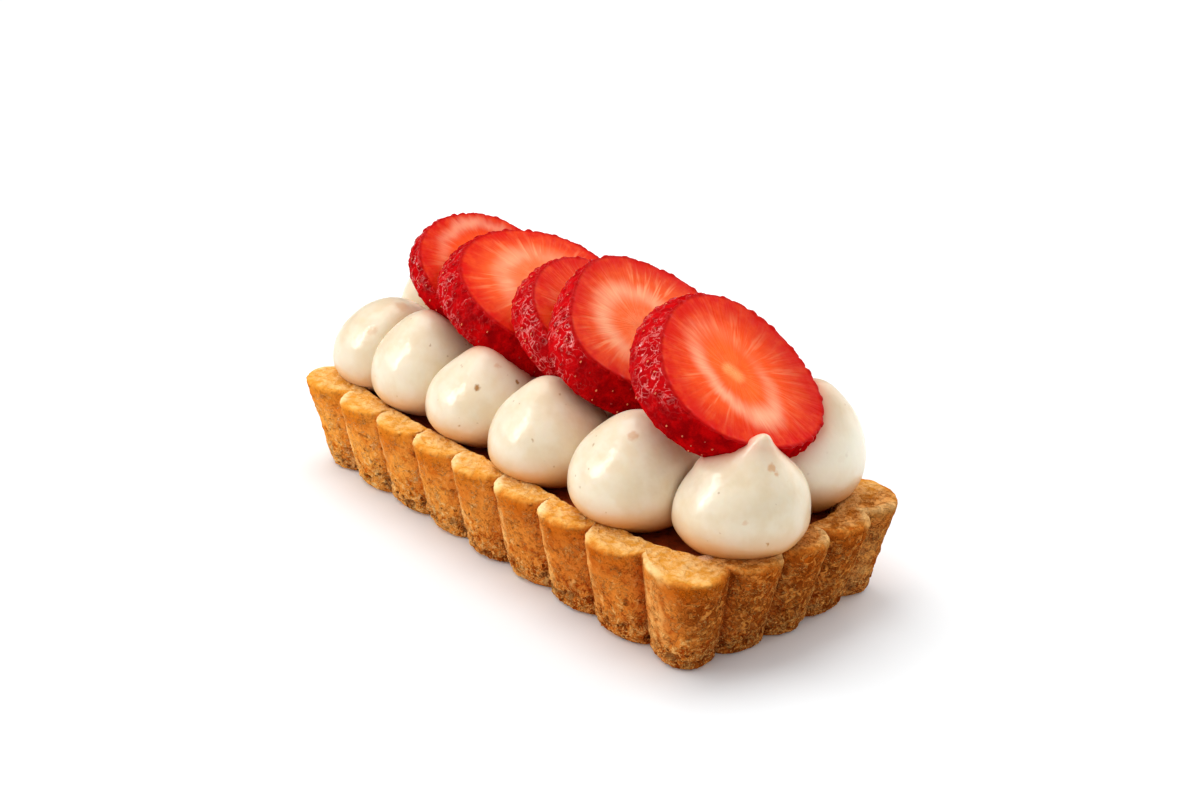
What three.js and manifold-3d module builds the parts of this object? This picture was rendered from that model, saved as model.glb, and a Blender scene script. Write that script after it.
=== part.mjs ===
// Strawberry tart: a fluted shortcrust case, a dark filling, twelve piped drops of cream and five
// leaning strawberry slices. Millimetres, +Z up. X runs along the case, Y across it, and the origin is
// on the table under the middle of the case.
import * as THREE from "three";
import { mergeVertices } from "three/addons/utils/BufferGeometryUtils.js";
import Module from "manifold-3d";

const wasm = await Module();
wasm.setup();

// Case: the flutes meet in valleys on a rectangle, which is smaller at the foot than at the rim.
const CASE_HEIGHT = 16;
const FLUTES_LONG = 9; // along a long side, with both corner flutes
const FLUTES_SHORT = 5;
const RIM = { halfLength: 50.2, halfWidth: 20.1, pitchLong: 11, pitchShort: 9, flute: 4, corner: 7.4 };
const FOOT = { halfLength: 46.3, halfWidth: 17.9, pitchLong: 10.9, pitchShort: 8.2, flute: 2.9, corner: 6 };
const POINTS_PER_FLUTE = 6;
const CAVITY_POINTS_PER_FLUTE = 3;
const EDGE = 0.9; // rounding of the foot and of the rim
const FOOT_EDGE_TOP = 1.4; // height at which the foot's rounding ends
const FLUTE_UNEVENNESS = 0.4; // how much shallower than a side's middle flute the others can be

// Cavity of the case, a rounded rectangle that tapers down to the case's floor
const CAVITY_TOP = { halfLength: 47.3, halfWidth: 17.4 };
const CAVITY_FLOOR = { halfLength: 43.8, halfWidth: 14.8 };
const CAVITY_ROUNDNESS = 5; // exponent of the superellipse
const CASE_FLOOR = 3.2;
const FILLING_TOP = 13.4;

const GAP = 0.3; // between pieces that touch
const KEEP_OUT_REACH = 12; // how far past the cavity the space that the drops keep out of reaches
const DROP_BASE = FILLING_TOP + GAP;

// Cream drops: place, largest radius, its height above the drop's base, height from there to the tip,
// how far the tip leans, and the shape above the widest part, from 0 for a hollow shoulder with a drawn
// tip to 1 for a dome
const FRONT_DROPS = [
  { x: -42, y: -8.5, radius: 10, belly: 5.4, rise: 10.6, lean: [1.6, 0], dome: 0.9 },
  { x: -28.6, y: -8.9, radius: 10.2, belly: 5.6, rise: 11.6, lean: [0, -0.6], dome: 0.7 },
  { x: -12.2, y: -9.4, radius: 9.9, belly: 5.4, rise: 10.6, lean: [0.3, -0.2], dome: 0.55 },
  { x: 6.3, y: -10.5, radius: 9.9, belly: 5, rise: 11.6, lean: [-0.1, -0.4], dome: 0.5 },
  { x: 26.3, y: -10.2, radius: 10.3, belly: 5.8, rise: 11.4, lean: [0.4, 0], dome: 0.7 },
  { x: 43, y: -5.2, radius: 9.9, belly: 5.5, rise: 13.5, lean: [3.8, 0.5], dome: 0 },
];
const BACK_DROPS = [
  { x: -45.6, y: 6.1, radius: 8.4, belly: 7.5, rise: 13.4, lean: [-0.3, 0], dome: 0.65 },
  { x: -28, y: 9.8, radius: 10, belly: 5.5, rise: 12, lean: [0.3, 0.3], dome: 0.5 },
  { x: -11, y: 10, radius: 10.2, belly: 5.6, rise: 11.6, lean: [-0.3, -0.3], dome: 0.6 },
  { x: 6.8, y: 9.7, radius: 9.7, belly: 5.4, rise: 12.2, lean: [0.3, 0.4], dome: 0.4 },
  { x: 23.2, y: 10, radius: 10, belly: 5.5, rise: 11.8, lean: [0, 0], dome: 0.6 },
  { x: 38.8, y: 12.5, radius: 8.8, belly: 7.6, rise: 12.4, lean: [0.5, 0.5], dome: 0.7 },
];
const DROP_SEGMENTS = 20;
const BELLY_LEVELS = [0, 0.25, 0.6, 1]; // heights of the rings up to the widest part, as shares
const BELLY_SHARE = 0.9; // the belly's height against a whole half ellipse's, for a flat base
const LEAN_CURVE = 1.6; // how the lean grows towards the tip
const CONTACT_SOFTNESS = 0.4; // width of the rounding round a flattened contact
// Heights above the widest part and radii of the hollow shoulder, as shares of the rise and of the radius
const SHOULDER = [
  [0.25, 0.95],
  [0.48, 0.77],
  [0.62, 0.57],
  [0.74, 0.38],
  [0.87, 0.21],
  [0.96, 0.12],
  [1, 0],
];

// Strawberry slices, from the front end to the back end: middle of the cut face, tilt of the face's
// normal above the table, its turn to the back, the face's two radii, thickness, the back's size against
// the face, and the back's shift up the face
const SLICES = [
  { face: [36.8, 0.4, 37.3], tilt: 53, turn: 5, across: 12.8, along: 13.8, thick: 6.6, back: 1.06, shift: 2 },
  { face: [10.8, 5.2, 36.3], tilt: 50, turn: 9, across: 14.3, along: 12.8, thick: 6.4, back: 1.1, shift: -1 },
  { face: [1.1, 4.9, 33.8], tilt: 51, turn: 11, across: 12.4, along: 13.5, thick: 6.4, back: 1.02, shift: 0.8 },
  { face: [-15, 5.7, 35.3], tilt: 61, turn: 9, across: 15.3, along: 14.7, thick: 6.3, back: 1.1, shift: 0.8 },
  { face: [-29.2, 4.5, 35], tilt: 50, turn: 9, across: 13.6, along: 12.5, thick: 5.6, back: 0.9, shift: 1.4 },
];
// Lobes that make each slice's outline uneven
const LOBES = [
  { count: 3, size: 0.045, angle: 2.9 },
  { count: 4, size: 0.036, angle: 0.3 },
  { count: 4, size: 0.011, angle: 2.4 },
  { count: 3, size: 0.02, angle: -0.3 },
  { count: 4, size: 0.012, angle: -2.8 },
];
const SLICE_SEGMENTS = 40;
const SLICE_LEVELS = 5;
const SLICE_BULGE = 0.6; // how far the skin swells between the two cut faces
const SCALLOP = 0.12; // depth of the dents that the seeds leave in the outline

const PASTRY = new THREE.MeshStandardMaterial({ color: 0xc88a48, roughness: 0.85, metalness: 0 });
const FILLING = new THREE.MeshStandardMaterial({ color: 0x5b2412, roughness: 0.6, metalness: 0 });
const CREAM = new THREE.MeshStandardMaterial({ color: 0xeee0ca, roughness: 0.35, metalness: 0 });
const STRAWBERRY = new THREE.MeshStandardMaterial({ color: 0xd3261b, roughness: 0.35, metalness: 0 });

// A value from 0 to 1 that changes unevenly from one whole number to the next
function unevenness(index) {
  return 0.5 + 0.5 * Math.sin(2.4 * index * index);
}

function mixSizes(low, high, share) {
  const mixed = {};
  for (const key of Object.keys(low)) {
    mixed[key] = low[key] + (high[key] - low[key]) * share;
  }
  return mixed;
}

// Valleys between the flutes, anticlockwise, and the way that the flute after each valley bulges
function flutes(size) {
  const { halfLength, halfWidth, pitchLong, pitchShort, flute, corner } = size;
  const long = FLUTES_LONG - 2;
  const short = FLUTES_SHORT - 2;
  const list = [];
  const side = (count, pitch, place, out) => {
    for (let i = 0; i < count; i += 1) {
      const middle = 2 * i + 1 === count;
      const lack = middle ? 0 : FLUTE_UNEVENNESS * unevenness(list.length);
      list.push({ valley: place((i - count / 2) * pitch), out, depth: flute - lack });
    }
    const lack = FLUTE_UNEVENNESS * unevenness(list.length);
    list.push({ valley: place((count / 2) * pitch), out: null, depth: corner - lack });
  };
  side(long, pitchLong, (s) => new THREE.Vector2(s, -halfWidth), new THREE.Vector2(0, -1));
  side(short, pitchShort, (s) => new THREE.Vector2(halfLength, s), new THREE.Vector2(1, 0));
  side(long, pitchLong, (s) => new THREE.Vector2(-s, halfWidth), new THREE.Vector2(0, 1));
  side(short, pitchShort, (s) => new THREE.Vector2(-halfLength, -s), new THREE.Vector2(-1, 0));
  return list;
}

// The fluted outline at one height: half an ellipse from each valley to the next
function flutedRing(size, inset, z) {
  const shrunk = { ...size, halfLength: size.halfLength - inset, halfWidth: size.halfWidth - inset };
  const list = flutes(shrunk);
  const ring = [];
  list.forEach(({ valley, out, depth }, index) => {
    const next = list[(index + 1) % list.length].valley;
    const middle = valley.clone().add(next).multiplyScalar(0.5);
    const half = next.clone().sub(valley).multiplyScalar(0.5);
    const way = out ?? new THREE.Vector2(Math.sign(middle.x), Math.sign(middle.y)).normalize();
    for (let i = 0; i < POINTS_PER_FLUTE; i += 1) {
      const angle = (Math.PI * i) / POINTS_PER_FLUTE;
      const point = middle.clone().addScaledVector(half, -Math.cos(angle));
      point.addScaledVector(way, depth * Math.sin(angle));
      ring.push(new THREE.Vector3(point.x, point.y, z));
    }
  });
  return ring;
}

// A rounded rectangle with its points evenly spread between the directions of the valleys
function cavityRing(size, inset, z) {
  const halfLength = size.halfLength - inset;
  const halfWidth = size.halfWidth - inset;
  const list = flutes(RIM);
  const ring = [];
  list.forEach(({ valley }, index) => {
    const next = list[(index + 1) % list.length].valley;
    for (let i = 0; i < CAVITY_POINTS_PER_FLUTE; i += 1) {
      const point = valley.clone().lerp(next, i / CAVITY_POINTS_PER_FLUTE);
      const across = point.x / RIM.halfLength;
      const along = point.y / RIM.halfWidth;
      const power = Math.abs(across) ** CAVITY_ROUNDNESS + Math.abs(along) ** CAVITY_ROUNDNESS;
      const scale = power ** (-1 / CAVITY_ROUNDNESS);
      ring.push(new THREE.Vector3(across * halfLength * scale, along * halfWidth * scale, z));
    }
  });
  return ring;
}

function cavityAt(z, inset) {
  const share = (z - CASE_FLOOR) / (CASE_HEIGHT - CASE_FLOOR);
  return cavityRing(mixSizes(CAVITY_FLOOR, CAVITY_TOP, share), inset, z);
}

// A closed surface through rings, where each ring has as many points as the next one or a multiple of
// them. The ends are covered by a smaller ring and a middle point.
function loft(rings) {
  const middle = (ring) => new THREE.Vector3(0, 0, ring[0].z);
  const core = (ring) => cavityRing(CAVITY_FLOOR, CAVITY_FLOOR.halfWidth / 2, ring[0].z);
  const first = rings[0];
  const last = rings[rings.length - 1];
  const all = [[middle(first)], core(first), ...rings, core(last), [middle(last)]];
  const positions = all.flat().flatMap((point) => point.toArray());
  const index = [];
  let start = 0;
  for (let r = 0; r + 1 < all.length; r += 1) {
    const [low, high] = [all[r].length, all[r + 1].length];
    const fine = Math.max(low, high);
    for (let i = 0; i < fine; i += 1) {
      const [a, b] = [i, i + 1].map((step) => start + (Math.floor((step * low) / fine) % low));
      const [c, d] = [i, i + 1].map((step) => start + low + (Math.floor((step * high) / fine) % high));
      if (a !== b) {
        index.push(a, b, d);
      }
      if (c !== d) {
        index.push(a, d, c);
      }
    }
    start += low;
  }
  const geometry = new THREE.BufferGeometry();
  geometry.setAttribute("position", new THREE.Float32BufferAttribute(positions, 3));
  geometry.setIndex(index);
  return geometry;
}

function toSolid(geometry) {
  const bare = geometry.clone();
  bare.deleteAttribute("normal");
  bare.deleteAttribute("uv");
  const merged = mergeVertices(bare, 1e-4);
  const triVerts = new Uint32Array(merged.index.array);
  const vertProperties = new Float32Array(merged.attributes.position.array);
  return new wasm.Manifold(new wasm.Mesh({ numProp: 3, vertProperties, triVerts }));
}

function toGeometry(solid) {
  const mesh = solid.getMesh();
  const geometry = new THREE.BufferGeometry();
  geometry.setAttribute("position", new THREE.BufferAttribute(mesh.vertProperties, 3));
  geometry.setIndex(new THREE.BufferAttribute(mesh.triVerts, 1));
  return geometry;
}

function largestPiece(solid) {
  const pieces = solid.decompose();
  return pieces.reduce((best, piece) => (piece.volume() > best.volume() ? piece : best));
}

// Case: up the outside from the foot, over the rim and down the cavity to its floor
function caseGeometry() {
  const outside = (z, inset) => flutedRing(mixSizes(FOOT, RIM, z / CASE_HEIGHT), inset, z);
  return loft([
    outside(0, EDGE),
    outside(EDGE / 2, EDGE / 4),
    outside(FOOT_EDGE_TOP, 0),
    outside(CASE_HEIGHT - EDGE, 0),
    outside(CASE_HEIGHT - EDGE / 4, EDGE / 4),
    outside(CASE_HEIGHT, EDGE),
    cavityRing(CAVITY_TOP, -EDGE / 2, CASE_HEIGHT),
    cavityAt(CASE_HEIGHT - EDGE / 2, 0),
    cavityAt(CASE_FLOOR, 0),
  ]);
}

function fillingGeometry() {
  return loft([cavityAt(CASE_FLOOR + GAP, GAP), cavityAt(FILLING_TOP, GAP)]);
}

// The space that the drops keep out of: the case's wall and rim, with the gap
function rimKeepOut() {
  const wide = (z) => cavityRing(CAVITY_TOP, -KEEP_OUT_REACH, z);
  return toSolid(
    loft([wide(0), wide(CASE_HEIGHT + GAP), cavityAt(CASE_HEIGHT + GAP, GAP), cavityAt(CASE_FLOOR, GAP)]),
  );
}

// Half outline of a drop: flat base, round belly, and a shoulder between a hollow one and a dome
function dropProfile({ radius, belly, rise, dome }) {
  const ellipse = belly / BELLY_SHARE;
  const points = [new THREE.Vector2(0, 0)];
  for (const height of BELLY_LEVELS) {
    const below = (belly * (1 - height)) / ellipse;
    points.push(new THREE.Vector2(radius * Math.sqrt(1 - below * below), belly * height));
  }
  for (const [up, hollow] of SHOULDER) {
    const across = THREE.MathUtils.lerp(hollow, Math.sqrt(1 - up * up), dome);
    points.push(new THREE.Vector2(radius * across, belly + rise * up));
  }
  return points;
}

// Moves a value smoothly below a limit and leaves it as it is further down
function softLimit(value, limit) {
  const over = (value - limit) / CONTACT_SOFTNESS;
  return limit - CONTACT_SOFTNESS * Math.log1p(Math.exp(-over));
}

// A drop of cream, flattened where it meets its neighbours
function dropGeometry(drop, others) {
  const geometry = new THREE.LatheGeometry(dropProfile(drop), DROP_SEGMENTS);
  geometry.rotateX(Math.PI / 2);
  geometry.translate(0, 0, DROP_BASE);
  const lean = new THREE.Vector3(...drop.lean, 0);
  const place = geometry.attributes.position;
  const point = new THREE.Vector3();
  for (let i = 0; i < place.count; i += 1) {
    point.fromBufferAttribute(place, i);
    const up = Math.max(0, (point.z - DROP_BASE - drop.belly) / drop.rise);
    point.addScaledVector(lean, up ** LEAN_CURVE);
    for (const other of others) {
      const way = new THREE.Vector3(other.x - drop.x, other.y - drop.y, 0);
      const distance = way.length();
      way.normalize();
      const radical = (distance ** 2 + drop.radius ** 2 - other.radius ** 2) / (2 * distance);
      const reach = point.dot(way);
      point.addScaledVector(way, softLimit(reach, radical - GAP / 2) - reach);
    }
    place.setXYZ(i, point.x + drop.x, point.y + drop.y, point.z);
  }
  return geometry;
}

// A slice of strawberry, made round its own axis and turned to lie against the one behind it
function sliceGeometry(slice, lobe, grow) {
  const { across, along, thick, back, shift } = slice;
  const profile = [new THREE.Vector2(0, -thick - grow)];
  for (let i = 0; i <= SLICE_LEVELS; i += 1) {
    const share = i / SLICE_LEVELS;
    const size = 1 + (back - 1) * (1 - share);
    const swell = (SLICE_BULGE / across) * Math.sin(Math.PI * share);
    profile.push(new THREE.Vector2(size + swell, -(thick + grow) + (thick + 2 * grow) * share));
  }
  profile.push(new THREE.Vector2(0, grow));
  const geometry = new THREE.LatheGeometry(profile, SLICE_SEGMENTS);
  const place = geometry.attributes.position;
  for (let i = 0; i < place.count; i += 1) {
    const angle = Math.atan2(place.getZ(i), place.getX(i));
    const edge = grow + SCALLOP * Math.cos((angle * SLICE_SEGMENTS) / 2);
    const uneven = 1 + lobe.size * Math.cos(lobe.count * angle - lobe.angle);
    const depth = THREE.MathUtils.clamp(-place.getY(i) / thick, 0, 1);
    place.setX(i, place.getX(i) * (across * uneven + edge));
    place.setZ(i, place.getZ(i) * (along * uneven + edge) - shift * depth);
  }
  const tilt = THREE.MathUtils.degToRad(slice.tilt);
  const turn = THREE.MathUtils.degToRad(slice.turn);
  const normal = new THREE.Vector3(
    Math.cos(tilt) * Math.cos(turn),
    Math.cos(tilt) * Math.sin(turn),
    Math.sin(tilt),
  );
  const sideways = new THREE.Vector3(-Math.sin(turn), Math.cos(turn), 0);
  const turned = new THREE.Matrix4().makeBasis(sideways, normal, sideways.clone().cross(normal));
  geometry.applyMatrix4(turned);
  geometry.translate(...slice.face);
  return geometry;
}

function piece(name, geometry, material) {
  const mesh = new THREE.Mesh(geometry, material);
  mesh.name = name;
  return mesh;
}

const tart = new THREE.Group();
tart.add(piece("tart_shell", caseGeometry(), PASTRY));
tart.add(piece("filling", fillingGeometry(), FILLING));

const wall = rimKeepOut();
const berries = SLICES.map((slice, index) => toSolid(sliceGeometry(slice, LOBES[index], 0)));
const berryRoom = SLICES.map((slice, index) => toSolid(sliceGeometry(slice, LOBES[index], GAP)));

const drops = [...FRONT_DROPS, ...BACK_DROPS];
drops.forEach((drop, index) => {
  const others = drops.filter((other) => other !== drop);
  let solid = toSolid(dropGeometry(drop, others)).subtract(wall);
  for (const room of berryRoom) {
    solid = solid.subtract(room);
  }
  const front = index < FRONT_DROPS.length;
  const number = front ? index + 1 : index + 1 - FRONT_DROPS.length;
  const name = `cream_${front ? "front" : "back"}_${number}`;
  tart.add(piece(name, toGeometry(largestPiece(solid)), CREAM));
});

berries.forEach((berry, index) => {
  const solid = index > 0 ? berry.subtract(berryRoom[index - 1]) : berry;
  tart.add(piece(`strawberry_slice_${index + 1}`, toGeometry(largestPiece(solid)), STRAWBERRY));
});

export default tart;
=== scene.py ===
import math
from functools import reduce

import bpy
import numpy as np
from mathutils import Matrix, Vector


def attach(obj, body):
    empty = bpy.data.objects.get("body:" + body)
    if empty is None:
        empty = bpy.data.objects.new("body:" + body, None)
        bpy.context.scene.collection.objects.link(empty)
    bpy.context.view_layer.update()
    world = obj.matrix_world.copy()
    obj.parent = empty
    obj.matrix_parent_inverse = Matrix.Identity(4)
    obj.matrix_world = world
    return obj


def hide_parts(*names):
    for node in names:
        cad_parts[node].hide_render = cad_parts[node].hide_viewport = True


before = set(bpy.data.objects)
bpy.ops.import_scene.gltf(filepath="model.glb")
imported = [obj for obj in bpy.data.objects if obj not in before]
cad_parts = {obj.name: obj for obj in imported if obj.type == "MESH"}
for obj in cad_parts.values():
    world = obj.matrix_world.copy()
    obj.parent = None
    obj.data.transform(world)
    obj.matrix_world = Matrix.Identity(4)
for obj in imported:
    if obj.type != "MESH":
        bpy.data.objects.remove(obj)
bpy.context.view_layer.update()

# All sizes below are in millimetres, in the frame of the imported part, and MM turns them into metres.
MM = 0.001

# Case
CASE_HEIGHT = 16
FLUTES_LONG = 9
FLUTES_SHORT = 5
OUTLINE = ("half_length", "half_width", "pitch_long", "pitch_short", "flute", "corner")
RIM = dict(zip(OUTLINE, (50.2, 20.1, 11, 9, 4, 7.4)))
FOOT = dict(zip(OUTLINE, (46.3, 17.9, 10.9, 8.2, 2.9, 6)))
EDGE = 0.9
FOOT_EDGE_TOP = 1.4
FLUTE_UNEVENNESS = 0.4
CAVITY_TOP = {"half_length": 47.3, "half_width": 17.4}
CAVITY_FLOOR = {"half_length": 43.8, "half_width": 14.8}
CAVITY_ROUNDNESS = 5
CASE_FLOOR = 3.2
FILLING_TOP = 13.4
KEEP_OUT_REACH = 12
CREASE = 0.28  # rounding of the valleys between the flutes
POINTS_PER_FLUTE = 48
ROOM_PER_FLUTE = 12  # the same for the solid that cuts the drops
# Rows of points: over the foot's edge, up the flank, over the rim's edge, across the rim, over its inner edge
# and down the cavity
FOOT_ROWS, FLANK_ROWS, RIM_EDGE_ROWS, RIM_ROWS, INNER_EDGE_ROWS, CAVITY_ROWS = 5, 44, 7, 13, 4, 6
FAR_IN = 9.0  # way in from the rim's edge, for points past the rim
RIM_WEAR = 0.32  # how far the rim's inner edge is crumbled, on average
DEEPEST_DENT = 0.6
PIT_DEPTH = 0.45
FILLING_MARGIN, FILLING_GAP = 0.3, 0.06
FILLING_ROWS, FILLING_PER_FLUTE = 70, 8
CRUMB_ROOM = 0.3  # room for the crumbs within the case's box, at the sides and on top
TOP_ROOM = 0.15

# Cream drops: x, y, largest radius, its height above the base, rise to the tip, lean, dome share
DROPS = {
    "cream_front_1": (-42, -8.5, 10, 5.4, 10.6, (1.6, 0), 0.9),
    "cream_front_2": (-28.6, -8.9, 10.2, 5.6, 11.6, (0, -0.6), 0.7),
    "cream_front_3": (-12.2, -9.4, 9.9, 5.4, 10.6, (0.3, -0.2), 0.55),
    "cream_front_4": (6.3, -10.5, 9.9, 5, 11.6, (-0.1, -0.4), 0.5),
    "cream_front_5": (26.3, -10.2, 10.3, 5.8, 11.4, (0.4, 0), 0.7),
    "cream_front_6": (43, -5.2, 9.9, 5.5, 13.5, (3.8, 0.5), 0),
    "cream_back_1": (-45.6, 6.1, 8.4, 7.5, 13.4, (-0.3, 0), 0.65),
    "cream_back_2": (-28, 9.8, 10, 5.5, 12, (0.3, 0.3), 0.5),
    "cream_back_3": (-11, 10, 10.2, 5.6, 11.6, (-0.3, -0.3), 0.6),
    "cream_back_4": (6.8, 9.7, 9.7, 5.4, 12.2, (0.3, 0.4), 0.4),
    "cream_back_5": (23.2, 10, 10, 5.5, 11.8, (0, 0), 0.6),
    "cream_back_6": (38.8, 12.5, 8.8, 7.6, 12.4, (0.5, 0.5), 0.7),
}
DROP_BASE = 13.7
DROP_GAP = 0.05
DROP_SINK = 0.25  # how much deeper the drops reach than in the CAD
DROP_UNEVENNESS = 0.12
BOUNCE_REACH = 1.1  # how far the painted reflection of the slices' red light reaches into the cream
DROP_SEGMENTS = 96
BELLY_ROWS = 16
SHOULDER_ROWS = 40
BELLY_SHARE = 0.9
LEAN_CURVE = 1.6
# Folds where the piping ended: drop, way round in degrees, share of the rise, width, height, how far out
FOLDS = [("cream_front_6", 222, 0.64, 42, 0.13, 1.8)]
CONTACT_SOFTNESS = 0.4
# Marks on the cream: middle in millimetres, radius and strength, first the brown ones, then the pale tan
# ones, some of which, such as those near the tips of front drops 1 and 6, are painted shade in the cream's
# creases
BROWN_SPECKS = [
    ((-7.1, -14.8, 25.1), 0.6, 0.95),
    ((-4.9, -8.5, 25.1), 0.45, 0.9),
    ((-6.2, -9.6, 25.9), 0.3, 0.7),
    ((-7.6, -18.2, 19.3), 0.3, 0.6),
    ((25.4, -20.2, 21.4), 0.3, 0.5),
    ((24.3, -16.8, 26.6), 0.35, 0.5),
    ((52.2, -8.7, 18.7), 0.22, 0.8),
    ((47.2, 12, 24.4), 0.4, 0.7),
    ((43.7, 15, 30.3), 0.3, 0.6),
    ((-23.1, -12.6, 27.2), 0.3, 0.5),
    ((11.2, -17.8, 23.2), 0.3, 0.5),
    ((9.9, -11.4, 28.4), 0.25, 0.5),
]
TAN_SPOTS_AND_SHADE = [
    ((29.5, -13.7, 28.9), 0.9, 0.7),
    ((49.3, -5.5, 28.4), 0.75, 0.8),
    ((50, -5.2, 27.6), 0.5, 0.7),
    ((50.3, -11.4, 22.3), 0.4, 0.4),
    ((47.2, 11, 24), 0.7, 0.5),
    ((-37.7, -8.3, 29), 1.4, 0.6),
    ((-37.6, -14.7, 26.2), 1.1, 0.5),
    ((-7.6, -10.2, 27.5), 0.6, 0.5),
]
MARK_WANDER, MARK_NOISE = 0.9, 1300  # how far the marks' outlines wander, and how fine the noise for it is
SMEAR = [((45.4, -14, 15.9), 1.1, 0.7)]  # cream on the rim
# Height and radius above the widest part of a drop with a hollow shoulder, as shares
SHOULDER_HEIGHTS = (0, 0.25, 0.48, 0.62, 0.74, 0.87, 0.94, 0.975, 1)
SHOULDER_RADII = (1, 0.95, 0.77, 0.57, 0.38, 0.21, 0.135, 0.085, 0)

# Strawberry slices: middle of the cut face, tilt, turn, across, along, thickness, back's size, shift
SLICES = [
    ((36.8, 0.4, 37.3), 53, 5, 12.8, 13.8, 6.6, 1.06, 2),
    ((10.8, 5.2, 36.3), 50, 9, 14.3, 12.8, 6.4, 1.1, -1),
    ((1.1, 4.9, 33.8), 51, 11, 12.4, 13.5, 6.4, 1.02, 0.8),
    ((-15, 5.7, 35.3), 61, 9, 15.3, 14.7, 6.3, 1.1, 0.8),
    ((-29.2, 4.5, 35), 50, 9, 13.6, 12.5, 5.6, 0.9, 1.4),
]
# Waves of each slice's outline: how many, how high (share of the radius) and their turn
LOBES = [(3, 0.045, 2.9), (4, 0.036, 0.3), (4, 0.011, 2.4), (3, 0.02, -0.3), (4, 0.012, -2.8)]
SLICE_BULGE = 0.6
SLICE_SEGMENTS = 432
ROOM_ROWS = (96, 8, 1)  # segments, rows of the skin and of the face, for the solids that cut
FACE_ROWS = 36
SKIN_ROWS = 36
BACK_ROWS = 6
FACE_ROUNDING = 0.12
BERRY_GAP = 0.04
SHEEN_WAY = -2.3  # where the skin faces the lamps and gets the most painted sheen and highlights, as an angle from the sideways axis
BERRY_ROOM = 0.2  # how much smaller the slices are than the CAD's, which leaves room for their relief
SEED_SPACING = 2.2
PIT_WIDTH = 0.52
PIT_LENGTH = 0.7
SEED_LENGTH = 0.45
SEED_WIDTH = 0.27
SEEDS_LOST = 0.3
SCALLOP_SPACING = 1.9
SCALLOP_DEPTH = 0.45
SCALLOP_REACH = 1.2  # how far down the skin the scallops fade
DIMPLE_DEPTH = 0.22
SEED_LEVELS, SEED_TURNS = 5, 8
SEED_LIFT = 0.02
SEED_FLATNESS = 0.7
# Core of each cut face: middle and radii, as shares of the face's radii
CORES = [
    ((-0.07, -0.02), 0.36, 0.62),
    ((-0.1, 0.0), 0.46, 0.54),
    ((0.0, 0.0), 0.45, 0.45),
    ((0.05, -0.05), 0.48, 0.48),
    ((0.1, 0.0), 0.74, 0.78),
]
# How pale each ring is: its share of the palest where it is weakest, where it is palest (an angle from the
# sideways axis), how sharply it fades from there, and how pale it is there
PALE = [
    (0.08, 2.5, 1, 0.95),
    (0.45, -2.2, 0.6, 0.85),
    (0.2, 2.6, 0.5, 1),
    (0.6, -2.4, 0.8, 0.8),
    (0, -1.45, 3, 0.6),
]
# How narrow the ring is, how strong the veins are and how milky the core is
LOOKS = [(1.0, 0.45, 0.0), (0.9, 1.1, 0.5), (1.1, 0.7, 0.0), (0.8, 1.2, 0.7), (1.9, 0.5, 0.0)]
# Share of the outline that gets painted sheen and highlights, as two limits, and how much
SHEEN_ZONES = [(0.7, 0.98, 1), (0.62, 0.97, 1), (0.5, 0.95, 1), (0.7, 0.98, 0.7), (0.7, 0.98, 0.6)]
# Bright heart of each cut face: two ends (shares of the radii) and half its width in millimetres
HEARTS = [((-0.11, -0.07), (-0.06, 0.03), 0.62), None, None, ((0.1, -0.05), (0.1, 0.1), 0.6), None]
NO_HEART = 9.0

# Camera: way round, up and turned in degrees, lens and place
CAMERA_ANGLES = (50.5, 22.9, 0.461)
CAMERA_LENS = 52.03
CAMERA_PLACE = (201.0, -161.1, 130.0)

# What the lights point at, and the floor, in metres
LIT_PLACE = Vector((0, 0, 0.02))
FLOOR_SIZE = 6.0
FLOOR_LEVEL = -0.00005
SKY_LIGHT = 0.7  # soft light from all sides
SKY_REFLECTED = 0.06  # less in reflections, as a studio is darker than its lamps

QUARTER = math.pi / 2
OCTAVE_SHIFT = 17.3


# ---- numbers ----


def srgb(text):
    """A colour written as six hexadecimal digits, as linear light."""
    values = [int(text[i : i + 2], 16) / 255 for i in (0, 2, 4)]
    return tuple(v / 12.92 if v <= 0.04045 else ((v + 0.055) / 1.055) ** 2.4 for v in values) + (1.0,)


def value_noise(points, cell, seed):
    """Smooth noise from -1 to 1 at points, with the given cell size (one number or three)."""
    side = 32
    table = np.random.RandomState(seed).rand(side, side, side) * 2 - 1
    p = points / np.asarray(cell, float)
    low = np.floor(p).astype(int)
    f = p - low
    f = f * f * (3 - 2 * f)
    total = np.zeros(points.shape[:-1])
    for corner in range(8):
        step = np.array([corner & 1, (corner >> 1) & 1, corner >> 2])
        weight = np.prod(np.where(step, f, 1 - f), axis=-1)
        index = (low + step) % side
        total += weight * table[index[..., 0], index[..., 1], index[..., 2]]
    return total


def fractal(points, cell, seed, octaves=4, gain=0.55):
    """Noise in octaves, each with half the cells of the one before."""
    total = np.zeros(points.shape[:-1])
    size, amount = np.asarray(cell, float), 1.0
    for octave in range(octaves):
        total += amount * value_noise(points + OCTAVE_SHIFT * octave, size, seed + octave)
        size, amount = size / 2, amount * gain
    return total


def smoothstep(low, high, x):
    t = np.clip((x - low) / (high - low), 0, 1)
    return t * t * (3 - 2 * t)


def steps(low, high, count):
    """Evenly spaced numbers after low, up to high."""
    return np.linspace(low, high, count + 1)[1:]


# ---- meshes ----


def new_mesh(name, points, faces):
    """A smooth mesh from points in millimetres and lists of faces."""
    mesh = bpy.data.meshes.new(name)
    mesh.from_pydata((np.asarray(points, float) * MM).tolist(), [], faces)
    mesh.update()
    mesh.polygons.foreach_set("use_smooth", np.ones(len(mesh.polygons), bool))
    return mesh


def add_object(name, data):
    item = bpy.data.objects.new(name, data)
    bpy.context.scene.collection.objects.link(item)
    return item


def make_mesh(name, points, faces):
    """An object from points in millimetres and lists of faces."""
    mesh = new_mesh(name, points, faces)
    mesh.validate()
    return add_object(name, mesh)


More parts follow.
